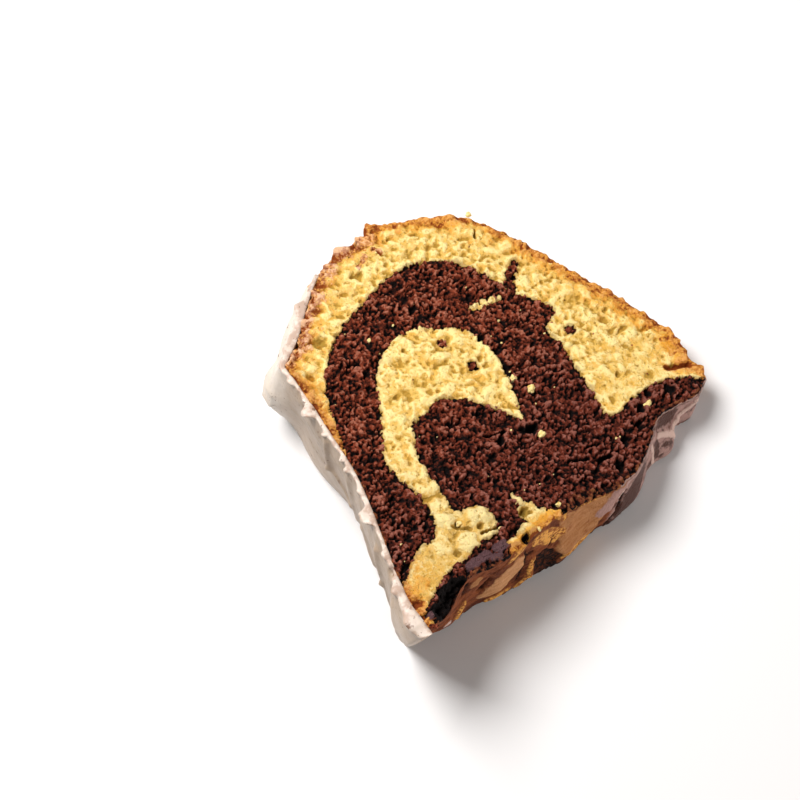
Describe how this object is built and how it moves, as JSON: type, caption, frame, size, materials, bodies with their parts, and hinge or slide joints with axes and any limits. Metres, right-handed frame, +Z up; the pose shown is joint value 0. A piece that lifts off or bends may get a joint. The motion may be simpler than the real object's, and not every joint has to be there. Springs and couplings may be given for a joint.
{
  "type": "iced marble ring cake slice",
  "caption": "Slice of marbled ring cake with white icing on its outer wall, lying on one cut face with the swirled crumb of the other shown.",
  "frame": {"origin": "middle of the whole box's bottom, on the back cut that the slice lies on", "axes": "+X from the iced outer wall to the wall of the ring's hole, +Y from the risen base to the crown, +Z up through the slice from the back cut to the shown cut"},
  "size_m": [0.0954, 0.0842, 0.0304],
  "materials": {
    "sponge": "golden and dark chocolate crumb marbled together, with a thin brown crust",
    "icing": "set white sugar icing, satin, with fine cocoa specks"
  },
  "bodies": {
    "root": {"cake_slice": "sponge", "icing": "icing"}
  },
  "joints": []
}
